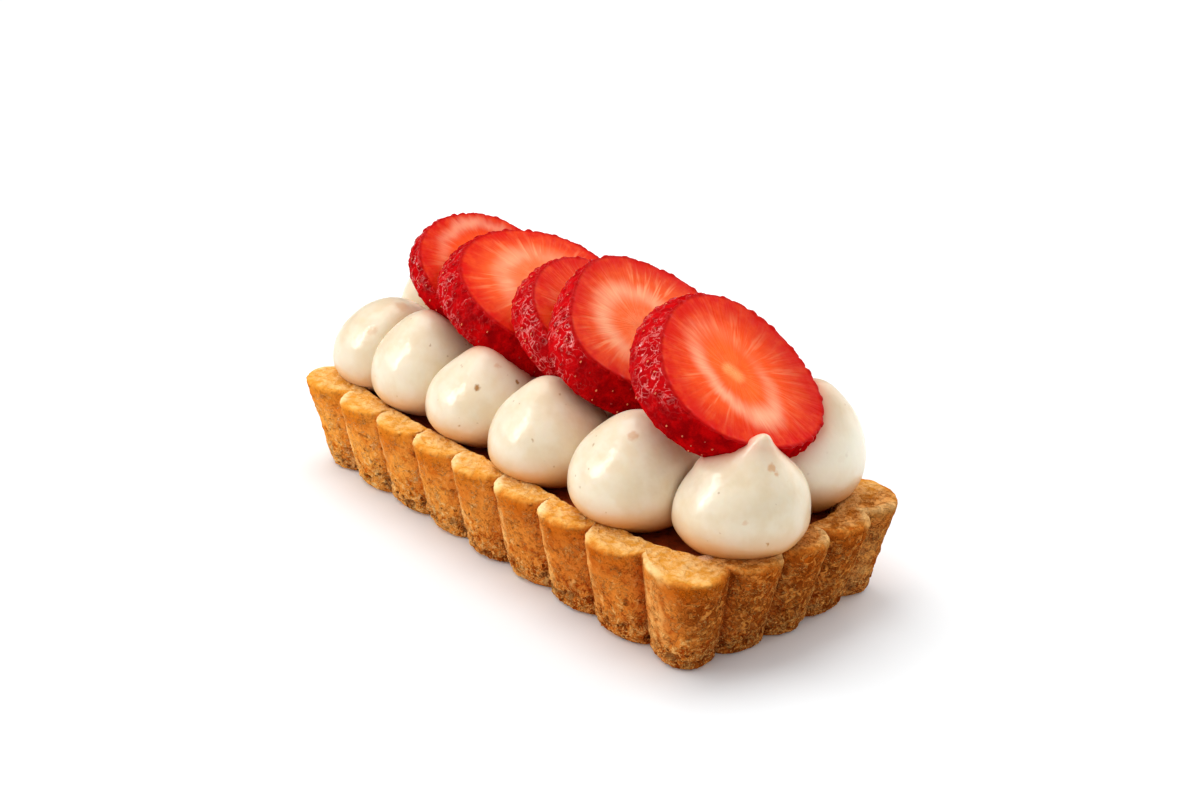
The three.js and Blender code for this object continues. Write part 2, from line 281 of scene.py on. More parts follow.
def closed_rows(rows):
    """Points and faces of a closed surface through rows of equally many points, with a point at each end."""
    rows = np.asarray(rows, float)
    count, around = rows.shape[:2]
    points = np.vstack([rows.reshape(-1, 3), rows[0].mean(0), rows[-1].mean(0)])
    i = np.arange(around)
    j = (i + 1) % around
    low = np.arange(count - 1)[:, None] * around
    high, top, end = low + around, (count - 1) * around, np.full(around, count * around)
    between = np.stack([low + i, low + j, high + j, high + i], -1).reshape(-1, 4)
    first = np.stack([end, j, i], 1)
    last = np.stack([end + 1, top + i, top + j], 1)
    return points, [*between.tolist(), *first.tolist(), *last.tolist()]


def row_normals(rows):
    """Outward normals of a surface through rows."""
    along = np.gradient(rows, axis=0)
    around = np.roll(rows, -1, axis=1) - np.roll(rows, 1, axis=1)
    normals = np.cross(around, along)
    return normals / np.maximum(np.linalg.norm(normals, axis=-1, keepdims=True), 1e-9)


def set_attribute(item, name, values):
    """A point attribute from one number for each point or from three."""
    values = np.asarray(values, np.float32)
    kind, key = ("FLOAT", "value") if values.ndim == 1 else ("FLOAT_VECTOR", "vector")
    item.data.attributes.new(name, kind, "POINT").data.foreach_set(key, values.ravel())


def positions(item):
    values = np.zeros(len(item.data.vertices) * 3)
    item.data.vertices.foreach_get("co", values)
    return values.reshape(-1, 3) / MM


def apply_modifiers(item):
    view = bpy.context.evaluated_depsgraph_get()
    mesh = bpy.data.meshes.new_from_object(item.evaluated_get(view))
    old = item.data
    item.modifiers.clear()
    item.data = mesh
    bpy.data.meshes.remove(old)


def cut(item, tools, degrees):
    """Takes the solids in tools away, keeps the largest part and makes edges above an angle sharp."""
    for tool in tools:
        step = item.modifiers.new("cut", "BOOLEAN")
        step.operation = "DIFFERENCE"
        step.solver = "MANIFOLD"
        step.object = tool
    apply_modifiers(item)
    keep_largest(item)
    item.data.polygons.foreach_set("use_smooth", np.ones(len(item.data.polygons), bool))
    item.data.set_sharp_from_angle(angle=math.radians(degrees))


def keep_largest(item):
    """Removes all parts of an object but the one with the most points."""
    mesh = item.data
    edges = np.zeros(len(mesh.edges) * 2, int)
    mesh.edges.foreach_get("vertices", edges)
    edges = edges.reshape(-1, 2)
    label = np.arange(len(mesh.vertices))
    while True:
        low = np.minimum(label[edges[:, 0]], label[edges[:, 1]])
        new = label.copy()
        np.minimum.at(new, edges[:, 0], low)
        np.minimum.at(new, edges[:, 1], low)
        new = new[new]
        if (new == label).all():
            break
        label = new
    names, sizes = np.unique(label, return_counts=True)
    if len(names) == 1:
        return
    keep = label == names[sizes.argmax()]
    number = np.cumsum(keep) - 1
    faces = [[int(number[v]) for v in p.vertices] for p in mesh.polygons if keep[p.vertices[0]]]
    item.data = new_mesh(item.name, positions(item)[keep], faces)


def finish_piece(item, material, slot, *nodes):
    item.data.materials.clear()
    item.data.materials.append(material)
    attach(item, "root")
    if nodes:
        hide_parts(*nodes)


# ---- shader graphs ----


class Graph:
    """A material's nodes. Their coordinates are in metres, and colours can be six hexadecimal digits."""

    def __init__(self, name):
        self.material = bpy.data.materials.new(name)
        self.material.use_nodes = True
        self.tree = self.material.node_tree
        self.tree.nodes.clear()
        self.shader = self.node("BsdfPrincipled")
        self.node("OutputMaterial", {0: self.shader.outputs[0]})
        self.object = self.node("TexCoord").outputs["Object"]

    def put(self, socket, value):
        if isinstance(value, bpy.types.NodeSocket):
            self.tree.links.new(value, socket)
        else:
            socket.default_value = srgb(value) if isinstance(value, str) else value

    def node(self, kind, inputs=None, **settings):
        node = self.tree.nodes.new("ShaderNode" + kind)
        for name, value in settings.items():
            setattr(node, name, value)
        for key, value in (inputs or {}).items():
            self.put(node.inputs[key], value)
        return node

    def math(self, operation, a, b=0.0):
        return self.node("Math", {0: a, 1: b}, operation=operation).outputs[0]

    def times(self, *factors):
        return reduce(lambda a, b: self.math("MULTIPLY", a, b), factors)

    def plus(self, *terms):
        return reduce(lambda a, b: self.math("ADD", a, b), terms)

    def minus(self, a, b):
        return self.math("SUBTRACT", a, b)

    def rest(self, value):
        return self.minus(1.0, value)

    def off(self, value, middle):
        """How far a value is from the middle one."""
        return self.math("ABSOLUTE", self.minus(value, middle))

    def remap(self, value, low, high, to_low=0.0, to_high=1.0):
        inputs = {"Value": value, "From Min": low, "From Max": high, "To Min": to_low, "To Max": to_high}
        return self.node("MapRange", inputs, interpolation_type="SMOOTHSTEP").outputs[0]

    def noise(self, scale, detail, roughness=0.55, distortion=0, vector=None):
        inputs = {"Vector": self.object if vector is None else vector, "Scale": scale, "Detail": detail}
        inputs.update({"Roughness": roughness, "Distortion": distortion})
        return self.node("TexNoise", inputs).outputs[0]

    def warped(self, scale, amount):
        """The coordinates moved about by noise."""
        noise = self.node("TexNoise", {"Vector": self.object, "Scale": scale, "Detail": 1})
        inputs = {0: noise.outputs["Color"], 1: [amount] * 3, 2: self.object}
        return self.node("VectorMath", inputs, operation="MULTIPLY_ADD").outputs[0]

    def spots(self, marks):
        """Soft round spots at places in millimetres, each with a radius and a strength."""
        vector = self.warped(MARK_NOISE, MARK_WANDER * MM)
        total = 0.0
        for place, radius, strength in marks:
            middle = [(c + MARK_WANDER / 2) * MM for c in place]
            distance = self.node("VectorMath", {0: vector, 1: middle}, operation="DISTANCE").outputs["Value"]
            spot = self.remap(distance, radius * 1.2 * MM, radius * 0.4 * MM, 0.0, strength)
            total = self.math("MAXIMUM", total, spot)
        return total

    def voronoi(self, vector, scale):
        return self.node("TexVoronoi", {"Vector": vector, "Scale": scale}).outputs["Distance"]

    def mix(self, share, a, b):
        return self.node("Mix", {"Factor": share, 6: a, 7: b}, data_type="RGBA").outputs[2]

    def layers(self, colour, *coats):
        """A colour under others, each given with its share."""
        for share, coat in coats:
            colour = self.mix(share, colour, coat)
        return colour

    def attribute(self, name, output="Fac"):
        return self.node("Attribute", attribute_name=name).outputs[output]

    def split(self, vector):
        return self.node("SeparateXYZ", {0: vector}).outputs

    def bump(self, height, strength, distance, normal=None):
        inputs = {"Strength": strength, "Distance": distance, "Height": height}
        if normal is not None:
            inputs["Normal"] = normal
        return self.node("Bump", inputs).outputs[0]

    def finish(self, colour, roughness, specular, normal=None, **others):
        """The material, with its shader's inputs. The others' names have _ for a space."""
        inputs = {"Base_Color": colour, "Roughness": roughness, "Specular_IOR_Level": specular, **others}
        if normal is not None:
            inputs["Normal"] = normal
        for name, value in inputs.items():
            self.put(self.shader.inputs[name.replace("_", " ")], value)
        return self.material


def crust_material():
    g = Graph("crust")
    x, y, z = g.split(g.object)
    crown, rim, pit, inward, lit_flank = (g.attribute(name) for name in ("crown", "rim", "pit", "inward", "lit_flank"))
    crumb = g.noise(620, 3, 0.6, 0.3)
    patch = g.noise(190, 3)
    broad = g.noise(330, 2, 0.5, 0.6)
    wrinkle = g.noise(1000, 2, 0.6, 0.9)
    warped = g.warped(900, 0.0011)
    grain = g.remap(g.voronoi(warped, 950), 0.75, 0.15)
    fine = g.remap(g.voronoi(warped, 2300), 0.75, 0.15)

    # Places on the case: towards the camera, on the side, near the foot, on the short side and the rim's end
    near = g.remap(x, -0.045, 0.035)
    side = g.rest(rim)
    foot = g.remap(z, 0.0062, 0.0018)
    short = g.times(g.remap(x, 0.0465, 0.0505), side)
    end = g.times(g.remap(x, 0.043, 0.049), g.remap(y, -0.019, -0.012))

    def fade(place, here, there=1):
        return g.remap(place, 0, 1, there, here)

    def strokes(scale, distortion, width, keep):
        lines = g.off(g.noise(scale, 2, 0.6, distortion), 0.5)
        broken = g.remap(g.noise(scale * 0.9, 2, 0.5), keep, keep + 0.05)
        return g.times(g.remap(lines, width, 0), broken, side)

    # Tone of the crumb, evened out on the middle of the side
    tone = g.plus(
        g.times(g.remap(crumb, 0.35, 0.65), 0.44),
        g.times(grain, 0.27),
        g.times(fine, fade(foot, 0.22, 0.08)),
        g.times(g.remap(broad, 0.36, 0.64), 0.16),
    )
    calm = g.times(g.remap(z, 0.0045, 0.009, 0, 0.4), side)
    tone = g.plus(g.times(tone, g.rest(calm)), g.times(calm, 0.42))

    # Shares of what lies over the crumb
    # Painted light: a paler ridge on the flank of each flute that faces the lamps
    lit_ridge = g.times(g.remap(lit_flank, 0.04, 0.65), side, g.remap(broad, 0.4, 0.6, 0.45, 0.85))
    lit_ridge = g.times(lit_ridge, fade(foot, 0.4), g.rest(g.times(short, g.remap(lit_flank, 0.4, 0.9, 0.9, 0.5))))
    heat = g.times(g.remap(crown, 0.45, 0.95), g.rest(lit_flank), side, g.remap(z, 0.008, 0.0152))
    # Painted shade: darker in the valleys between the flutes
    valley_shade = g.times(g.remap(crown, 0.75, 0.1), g.rest(lit_flank))
    folds = g.times(g.remap(wrinkle, 0.5, 0.42), g.math("MAXIMUM", short, g.times(end, 0.6)))
    crests = g.times(g.remap(wrinkle, 0.54, 0.61), short)
    pale = strokes(560, 1.6, 0.03, 0.47)
    cracks = g.times(strokes(760, 1.2, 0.026, 0.48), fade(foot, 1, 0.45))
    holes = g.times(g.remap(g.voronoi(warped, 640), 0.24, 0.12), g.remap(g.noise(500, 1), 0.46, 0.52), side)
    holes = g.times(holes, g.remap(z, 0.014, 0.005, 0.35, 1))

    # Bands along the rim, by the way in from its edge in millimetres
    reach = g.plus(inward, g.times(lit_flank, 1.9), g.times(crumb, 2))
    toast = g.times(g.remap(reach, 1.8, 0.5), g.remap(reach, -3.2, -0.5), fade(end, 0.45))
    # Painted highlight on the rim's rounded outer edge, on the flank of each flute that faces the lamps
    roll = g.times(g.remap(inward, 1.2, 0), g.remap(inward, -3, -1), lit_flank, fade(end, 0.5, 0.8))
    # A paler golden band along the rim's outer edge, with a painted highlight on it that is strongest on the
    # flank facing the lamps
    edge = g.times(g.remap(inward, 1.1, 0.2), g.remap(inward, -1.5, -0.4), fade(end, 0.35))
    edge = g.times(edge, g.plus(g.times(lit_flank, 0.6), 0.4), g.remap(tone, 0.1, 0.5, 0.5, 0.95))

    # Colours far from the camera and near it
    dark = g.mix(near, "D06410", "A63E0A")
    middle = g.mix(near, "F6A244", "E08230")
    light = g.mix(near, "FFD48C", "FFBE6C")
    brown = g.mix(g.remap(tone, 0.15, 0.75), "96440E", "DE9048")
    golden = g.layers(
        g.mix(g.remap(tone, 0, 0.9), "E29834", "F6C680"),
        (g.times(end, 0.75), brown),
        (g.times(end, g.remap(wrinkle, 0.5, 0.4), 0.35), "7A340C"),
    )
    colour = g.layers(
        g.mix(g.remap(tone, 0.05, 0.42), dark, middle),
        (g.remap(tone, 0.5, 0.85), light),
        (g.times(g.remap(patch, 0.42, 0.66), 0.35), dark),
        # Painted shade: the short side, which faces away from the lamps, is darker
        (g.times(short, 0.52), "8E3E0E"),
        (lit_ridge, g.mix(g.remap(tone, 0.1, 0.55), middle, light)),
        (g.times(heat, g.remap(patch, 0.4, 0.6, 0.5, 0.85)), g.mix(near, "DC6C10", "B04A08")),
        (g.times(valley_shade, 0.5), dark),
        (g.times(foot, g.remap(fine, 0.58, 0.85, 0, 0.85)), "FCB868"),
        (g.times(foot, g.remap(tone, 0.4, 0.2), fade(near, 0.55, 0.15)), "8A3A0A"),
        (g.times(folds, 0.55), "602404"),
        (g.times(crests, 0.5), "EC9E4A"),
        (g.times(pale, 0.6), g.mix(near, "FFD494", "FBB868")),
        (g.times(cracks, g.remap(near, 0.2, 0.9, 0.3, 0.75)), g.mix(near, "B45006", "862E00")),
        (g.times(holes, 0.8), "742A04"),
        (g.times(toast, g.remap(tone, 0.2, 0.6, 0.75, 0.4)), g.mix(near, "E48C28", "D06812")),
        (g.times(g.remap(reach, 0.1, 1.7), 0.94), golden),
        # Painted highlights on the rim's rounded outer edge
        (roll, "F4B45C"),
        (edge, g.mix(g.remap(lit_flank, 0.1, 0.7), "F4B24C", "FFE2A8")),
        (g.times(pit, 0.9), "762C06"),
        (g.spots(SMEAR), "F4C8A4"),
    )
    lines = g.minus(g.minus(pale, g.times(cracks, 1.5)), g.times(holes, 2))
    wrinkles = g.times(g.minus(crests, folds), 0.5)
    height = g.plus(g.times(tone, fade(rim, 0.5)), g.times(lines, 0.25), wrinkles)
    relief = g.bump(fine, 0.3, 0.0001, g.bump(height, 0.95, 0.0006))
    return g.finish(colour, g.remap(crumb, 0.3, 0.7, 0.5, 0.75), 0, relief)


def cream_material():
    g = Graph("cream")
    x, y, z = g.split(g.object)
    cloud = g.noise(230, 3)
    dots = g.times(g.remap(g.voronoi(g.object, 420), 0.1, 0.05), g.remap(g.noise(900, 1), 0.47, 0.53))
    # Painted light and shade low on the drops: warm light bounced from the crust, with shade
    low = g.times(g.remap(z, 0.0215, 0.0152), g.remap(x, -0.04, 0.01, 0.6, 0.95))
    last = g.times(g.remap(x, 0.034, 0.038), g.remap(y, 0.001, 0.005))  # back drop 6, which gets painted light and shade
    # Painted light on the middle of back drop 6
    belly = g.times(last, g.remap(z, 0.03, 0.026), g.remap(z, 0.019, 0.024, 0, 0.75))
    colour = g.layers(
        g.mix(g.remap(cloud, 0.36, 0.66), "EEDFC4", "E8D4B2"),
        (g.times(dots, 0.5), "A9825A"),
        # Pale tan spots, partly painted shade in the cream's creases
        (g.spots(TAN_SPOTS_AND_SHADE), "D9A878"),
        (g.spots(BROWN_SPECKS), "A8722C"),
        # Painted bounced light and shade low on the drops
        (low, "D68C30"),
        # Painted shade: the drops at the far end are darker, against the top lamp that lights them most
        (g.remap(x, -0.028, -0.05, 0, 0.3), "D8C4A4"),
        # Painted light on the middle of back drop 6
        (belly, "FFF6E2"),
        # Painted shade on the top of back drop 6, where slice 1 shades it
        (g.times(last, g.remap(z, 0.027, 0.032, 0, 0.5)), "C8B28E"),
        # Painted reflection of the slices' red light on the cream near them
        (g.times(g.attribute("berry_bounce"), 0.65), "E8876C"),
    )
    relief = g.bump(g.noise(420, 2, 0.5), 0.16, 0.0009)
    coat = {"Coat_Weight": 0.55, "Coat_Roughness": 0.2}
    coat["Coat_Normal"] = g.bump(g.noise(1900, 2, 0.5), 0.1, 0.00012, relief)
    depth = {"Subsurface_Weight": 0.35, "Subsurface_Radius": (1, 0.7, 0.45), "Subsurface_Scale": 0.0012}
    return g.finish(colour, 0.42, 0.3, relief, **coat, **depth)


def fruit_material():
    g = Graph("fruit")
    x, y, _ = g.split(g.object)
    q, rho, depth = g.split(g.attribute("zone", "Vector"))
    narrow, many, milky = g.split(g.attribute("look", "Vector"))
    cos, sin, number = g.split(g.attribute("ray", "Vector"))
    pit, lit_sheen = g.attribute("pit"), g.attribute("lit_sheen")
    fan = {0: g.times(cos, 5), 1: g.times(sin, 5), 2: g.plus(g.times(rho, 0.9), number)}
    fan = g.node("CombineXYZ", fan).outputs[0]
    streak = g.noise(1.3, 2, 0.5, 0.4, fan)
    streak_fine = g.noise(2.2, 2, 0.6, 0.3, fan)
    mottle = g.noise(420, 4, 0.6)
    broad = g.noise(170, 2, 0.5)
    ripple = g.noise(1000, 2, 0.5, 0.6)

    # Cut face: q is 1 at the edge of the core and rho at the edge of the face
    veins = g.times(g.remap(streak, 0.35, 0.65, 0.15, 1), g.remap(streak_fine, 0.46, 0.64))
    veins = g.times(veins, g.remap(q, 0.7, 1.05), g.remap(rho, 0.97, 0.5), many)
    off_ring = g.times(g.off(g.plus(q, g.times(streak, 0.3)), 1.12), narrow)
    pale = g.times(g.remap(off_ring, 0.4, 0), g.remap(broad, 0.3, 0.6, 0.5, 1), g.attribute("pale"))
    core = g.times(g.remap(q, 0.85, 0.45), g.remap(mottle, 0.35, 0.6, 0.2, 0.7))
    heart = g.times(g.remap(g.attribute("heart"), 1.4, 0), g.remap(mottle, 0.3, 0.6, 0.6, 0.95))
    shaded = g.times(g.remap(x, 0.022, 0.03), g.remap(y, 0.001, 0.013, 0, 0.45))
    flesh = g.layers(
        g.mix(g.remap(rho, 0.35, 0.98), "FF5A1C", "D9160C"),
        (g.times(g.remap(mottle, 0.4, 0.7), 0.3), "FF6A2C"),
        (g.times(veins, 0.8), "FFAC78"),
        (g.times(pale, 0.85), "FFC49C"),
        (core, g.mix(milky, "FF6C2A", "FFA074")),
        (heart, "FFB66E"),
        (g.times(milky, g.remap(rho, 0.95, 0.6, 0, 0.45)), "FF7C40"),
        (g.times(shaded, g.remap(pale, 0.6, 0.1, 0.3, 1)), "BA1008"),
        (g.remap(rho, 0.94, 0.985), "B80808"),
    )

    # Skin, with painted highlight lines around the pits and between them, and a painted sheen, where it faces
    # the lamps
    loop = g.plus(pit, g.times(g.minus(ripple, 0.5), 2.4))
    loop = g.times(g.remap(g.off(loop, 1.3), 0.24, 0), g.remap(mottle, 0.46, 0.54))
    curl = g.remap(g.off(g.noise(500, 2, 0.5, 1.2), 0.5), 0.03, 0.004)
    glint = g.times(g.math("MAXIMUM", loop, curl), lit_sheen, g.remap(broad, 0.42, 0.54, 0.15, 1))
    skin = g.layers(
        g.mix(g.remap(mottle, 0.35, 0.65), "BE0508", "8C0206"),
        # Painted light: lighter red where the skin faces the lamps
        (g.times(lit_sheen, 0.35), "D4161C"),
        (g.times(glint, 0.6), "F47A74"),
        (g.remap(pit, 1.25, 0.6, 0, 0.22), "700204"),
    )
    face = g.remap(depth, 0.28, 0.14)
    outside = g.rest(face)
    shine = g.times(outside, lit_sheen, g.remap(glint, 0.05, 0.6, 0, 0.42))
    fibres = g.plus(g.times(streak_fine, face), g.times(mottle, 0.3), g.times(ripple, outside, 3))
    return g.finish(
        g.mix(face, skin, flesh),
        g.remap(depth, 0.28, 0.14, 0.08, 0.3),
        g.plus(shine, g.times(face, 0.05)),
        g.bump(fibres, 0.4, 0.00035),
        Subsurface_Weight=0.12,
        Subsurface_Radius=(1, 0.15, 0.08),
        Subsurface_Scale=0.0014,
    )


def seed_material():
    g = Graph("seed")
    patch = g.remap(g.noise(300, 2, 0.5), 0.43, 0.56)
    relief = g.bump(g.noise(3000, 2, 0.5), 0.3, 0.0001)
    return g.finish(g.mix(patch, "DC7C50", "9C1C16"), 0.3, 0.2, relief)


def filling_material():
    g = Graph("dark_filling")
    lump = g.noise(420, 4, 0.6)
    colour = g.mix(g.remap(lump, 0.4, 0.65), "B0481C", "7C2A10")
    return g.finish(colour, 0.35, 0.5, g.bump(lump, 0.6, 0.0006))


def floor_material():
    g = Graph("white_floor")
    grain = g.times(g.noise(40, 2, 0.5), 0.05)
    return g.finish(g.mix(grain, (0.88, 0.9, 0.91, 1), (0.86, 0.88, 0.89, 1)), 0.9, 0.1)


# ---- case ----


def unevenness(index):
    return 0.5 + 0.5 * math.sin(2.4 * index * index)


def mix_sizes(low, high, share):
    return {key: low[key] + (high[key] - low[key]) * share for key in low}


def flutes(size):
    """The flutes, anticlockwise: the valleys before and after them, their middles, ways out and depths."""
    valleys, ways, depths = [], [], []
    for out in np.array([(0, -1), (1, 0), (0, 1), (-1, 0)]):
        along = np.array([-out[1], out[0]])
        if out[0] == 0:
            count, pitch, half = FLUTES_LONG - 2, size["pitch_long"], size["half_width"]
        else:
            count, pitch, half = FLUTES_SHORT - 2, size["pitch_short"], size["half_length"]
        for i in range(count + 1):
            at_corner = i == count
            lack = 0 if 2 * i + 1 == count else FLUTE_UNEVENNESS * unevenness(len(valleys))
            valleys.append(out * half + along * (i - count / 2) * pitch)
            ways.append((out + along) / math.sqrt(2) if at_corner else out)
            depths.append(size["corner" if at_corner else "flute"] - lack)
    valleys = np.array(valleys)
    nexts = np.roll(valleys, -1, axis=0)
    return valleys, nexts, (valleys + nexts) / 2, np.array(ways), np.array(depths)


def fluted_row(size, inset, z):
    """Outline of the case, set in, with rounded valleys between the flutes."""
    shrunk = dict(size, half_length=size["half_length"] - inset, half_width=size["half_width"] - inset)
    valleys, nexts, middles, ways, depths = flutes(shrunk)
    angle = math.pi * np.arange(POINTS_PER_FLUTE) / POINTS_PER_FLUTE
    halves = (nexts - valleys) / 2
    row = middles[:, None] - halves[:, None] * np.cos(angle)[None, :, None]
    row = row + ways[:, None] * (depths[:, None] * np.sin(angle))[..., None]
    row = round_creases(row.reshape(-1, 2))
    return np.column_stack([row, np.full(len(row), float(z))])


def round_creases(row):
    """Smooths a closed outline by about CREASE millimetres."""
    spacing = np.linalg.norm(row - np.roll(row, 1, axis=0), axis=1).mean()
    frequency = np.fft.fftfreq(len(row), spacing)
    gain = np.exp(-2 * (math.pi * frequency * CREASE) ** 2)
    return np.fft.ifft(np.fft.fft(row, axis=0) * gain[:, None], axis=0).real


def cavity_row(size, inset, z, per_flute=POINTS_PER_FLUTE):
    """Outline of the cavity, set in, with as many points as the case has for each flute, or fewer."""
    valleys, nexts, *_ = flutes(RIM)
    share = np.arange(per_flute) / per_flute
    point = valleys[:, None] + (nexts - valleys)[:, None] * share[None, :, None]
    point = point.reshape(-1, 2) / [RIM["half_length"], RIM["half_width"]]
    power = (np.abs(point) ** CAVITY_ROUNDNESS).sum(1)
    point = point * [size["half_length"] - inset, size["half_width"] - inset]
    point = point * (power ** (-1 / CAVITY_ROUNDNESS))[:, None]
    return np.column_stack([point, np.full(len(point), float(z))])


def cavity_at(z, inset, per_flute=POINTS_PER_FLUTE):
    share = (z - CASE_FLOOR) / (CASE_HEIGHT - CASE_FLOOR)
    return cavity_row(mix_sizes(CAVITY_FLOOR, CAVITY_TOP, share), inset, z, per_flute)


def crust_relief(rows, rims):
    """How far the crust's points move out, and how deep in a crack or a hole they are, from 0 to 1."""
    z = rows[..., 2]
    near_foot = smoothstep(5, 2.2, z)
    side = 1 - rims
    push = fractal(rows, 9, 3, 2) * 0.13
    push += fractal(rows, 2.9, 21, 3, 0.6) * (0.1 + 0.07 * near_foot)
    push += fractal(rows, 1.1, 31, 3, 0.75) * (0.09 + 0.13 * near_foot)
    ridged = 1 - np.abs(fractal(rows * [1, 1, 1.5], 2.3, 61, 3))
    push += 0.12 * np.clip(ridged, 0, 1) ** 4 * side
    crack = smoothstep(0.16, 0.6, fractal(rows * [1, 1, 1.7], 1.9, 71, 3))
    crack = crack * near_foot * smoothstep(0.6, 1.4, z)
    hole = smoothstep(0.7, 1.0, fractal(rows * [1, 1, 1.3], 1.3, 81, 3)) * (0.6 + 0.4 * near_foot)
    pit = np.clip(0.8 * crack + hole * side + 0.3 * hole * rims, 0, 1)
    return (np.clip(push, -DEEPEST_DENT, CRUMB_ROOM) - PIT_DEPTH * pit) * smoothstep(0, 0.5, z), pit


def build_case(material):
    rows, rims, inwards = [], [], []

    def outside(z, inset):
        return fluted_row(mix_sizes(FOOT, RIM, z / CASE_HEIGHT), inset + CRUMB_ROOM, z)

    def put(row, rim=0.0, inward=FAR_IN):
        rows.append(row)
        rims.append(rim)
        inwards.append(np.zeros(len(row)) + inward)

    for share in (0.3, 0.75, 1):
        put(outside(0, EDGE) * [share, share, 1], 0, -CASE_HEIGHT)
    for turn in steps(0, QUARTER, FOOT_ROWS):
        put(outside(FOOT_EDGE_TOP * (1 - math.cos(turn)), EDGE * (1 - math.sin(turn))), 0, -CASE_HEIGHT)
    for z in steps(FOOT_EDGE_TOP, CASE_HEIGHT - EDGE, FLANK_ROWS):
        put(outside(z, 0), 0, z - CASE_HEIGHT + EDGE - EDGE * QUARTER)
    top = CASE_HEIGHT - TOP_ROOM
    for turn in steps(0, QUARTER, RIM_EDGE_ROWS):
        z = CASE_HEIGHT - EDGE + (EDGE - TOP_ROOM) * math.sin(turn)
        put(outside(z, EDGE * (1 - math.cos(turn))), math.sin(turn), EDGE * (turn - QUARTER))
    outer = rows[-1]
    inner = cavity_row(CAVITY_TOP, -EDGE / 2, top)
    worn = np.clip(RIM_WEAR * (1 + fractal(inner, 2.6, 93, 3)), 0, 0.8)
    around = np.roll(inner, -1, axis=0) - np.roll(inner, 1, axis=0)
    away = np.column_stack([around[:, 1], -around[:, 0], np.zeros(len(inner))])
    away = away / np.linalg.norm(away, axis=1, keepdims=True) * worn[:, None]
    width = np.linalg.norm(inner + away - outer, axis=1)
    for share in steps(0, 1, RIM_ROWS):
        put(outer * (1 - share) + (inner + away) * share, 1, width * share)
    for turn in steps(0, QUARTER, INNER_EDGE_ROWS):
        row = cavity_row(CAVITY_TOP, -EDGE / 2 * (1 - math.sin(turn)), top - EDGE / 2 * (1 - math.cos(turn)))
        put(row + away * (1 - 0.6 * turn / QUARTER), 1 - 0.7 * math.sin(turn))
    for z in steps(top - EDGE / 2, CASE_FLOOR, CAVITY_ROWS):
        put(cavity_at(z, 0))
    put(rows[-1] * [0.4, 0.4, 1])

    rows = np.array(rows)
    everywhere = np.ones(rows.shape[:2])
    rims = np.array(rims)[:, None] * everywhere
    column = np.arange(rows.shape[1])
    flute = column // POINTS_PER_FLUTE
    angle = math.pi * (column % POINTS_PER_FLUTE) / POINTS_PER_FLUTE
    end_side = (flute >= FLUTES_LONG - 1) & (flute < FLUTES_LONG + FLUTES_SHORT - 3)
    lit_flank = smoothstep(0.1, 0.75, np.cos(angle) * np.where(end_side, -1, 1))
    lit_flank = lit_flank * (0.75 + 0.25 * np.sin(5.1 * flute))  # the flank of each flute that faces the lamps, which gets painted light, is paler than the other
    shown = smoothstep(2, 5, np.arange(len(rows)))[:, None] * everywhere
    shown[-1 - CAVITY_ROWS :] = 0
    push, pit = crust_relief(rows, rims)
    rows = rows + row_normals(rows) * (push * shown)[..., None]
    rows[..., 2] = np.clip(rows[..., 2], 0, CASE_HEIGHT)
    item = make_mesh("crust", *closed_rows(rows))
    marks = {"pit": pit * shown, "rim": rims, "crown": np.sin(angle) * everywhere, "lit_flank": lit_flank * everywhere}
    for name, values in {**marks, "inward": np.array(inwards)}.items():
        set_attribute(item, name, np.append(values.ravel(), [0, 0]))
    finish_piece(item, material, "pastry", "tart_shell")


def build_filling(material):
    heights = (CASE_FLOOR + FILLING_MARGIN, FILLING_TOP - FILLING_MARGIN, FILLING_TOP)
    *rows, edge = (cavity_at(z, FILLING_GAP, FILLING_PER_FLUTE) for z in heights)
    rows.extend(edge * [share, share, 1] for share in np.linspace(1, 0.03, FILLING_ROWS))
    rows = np.array(rows)
    rise = np.clip(fractal(rows, 3.2, 77, 3) * 0.25 - 0.2, -0.6, 0.0)
    rows[2:, :, 2] += rise[2:]
    item = make_mesh("dark_filling", *closed_rows(rows))
    finish_piece(item, material, "filling", "filling")


# ---- cream ----


def shoulder_radius(up, dome):
    """Radius at a height above the widest part, as shares: a smooth curve or a dome."""
    heights, radii = np.array(SHOULDER_HEIGHTS), np.array(SHOULDER_RADII)
    slopes = np.gradient(radii, heights)
    slopes[0] = 0
    index = np.clip(np.searchsorted(heights, up, side="right") - 1, 0, len(heights) - 2)
    step = heights[index + 1] - heights[index]
    t = (up - heights[index]) / step
    hollow = (
        (2 * t**3 - 3 * t**2 + 1) * radii[index]
        + (t**3 - 2 * t**2 + t) * step * slopes[index]
        + (3 * t**2 - 2 * t**3) * radii[index + 1]
        + (t**3 - t**2) * step * slopes[index + 1]
    )
    tip = np.sqrt(np.clip(1 - up, 0, 1) / (1 - heights[-2]))
    hollow = np.where(up > heights[-2], radii[-2] * tip, hollow)
    return hollow * (1 - dome) + np.sqrt(np.clip(1 - up**2, 0, 1)) * dome


def soft_limit(value, limit):
    """The value where it is below the limit, and the limit above it, with a rounded turn."""
    over = (value - limit) / CONTACT_SOFTNESS
    return limit - CONTACT_SOFTNESS * np.logaddexp(0, -over)


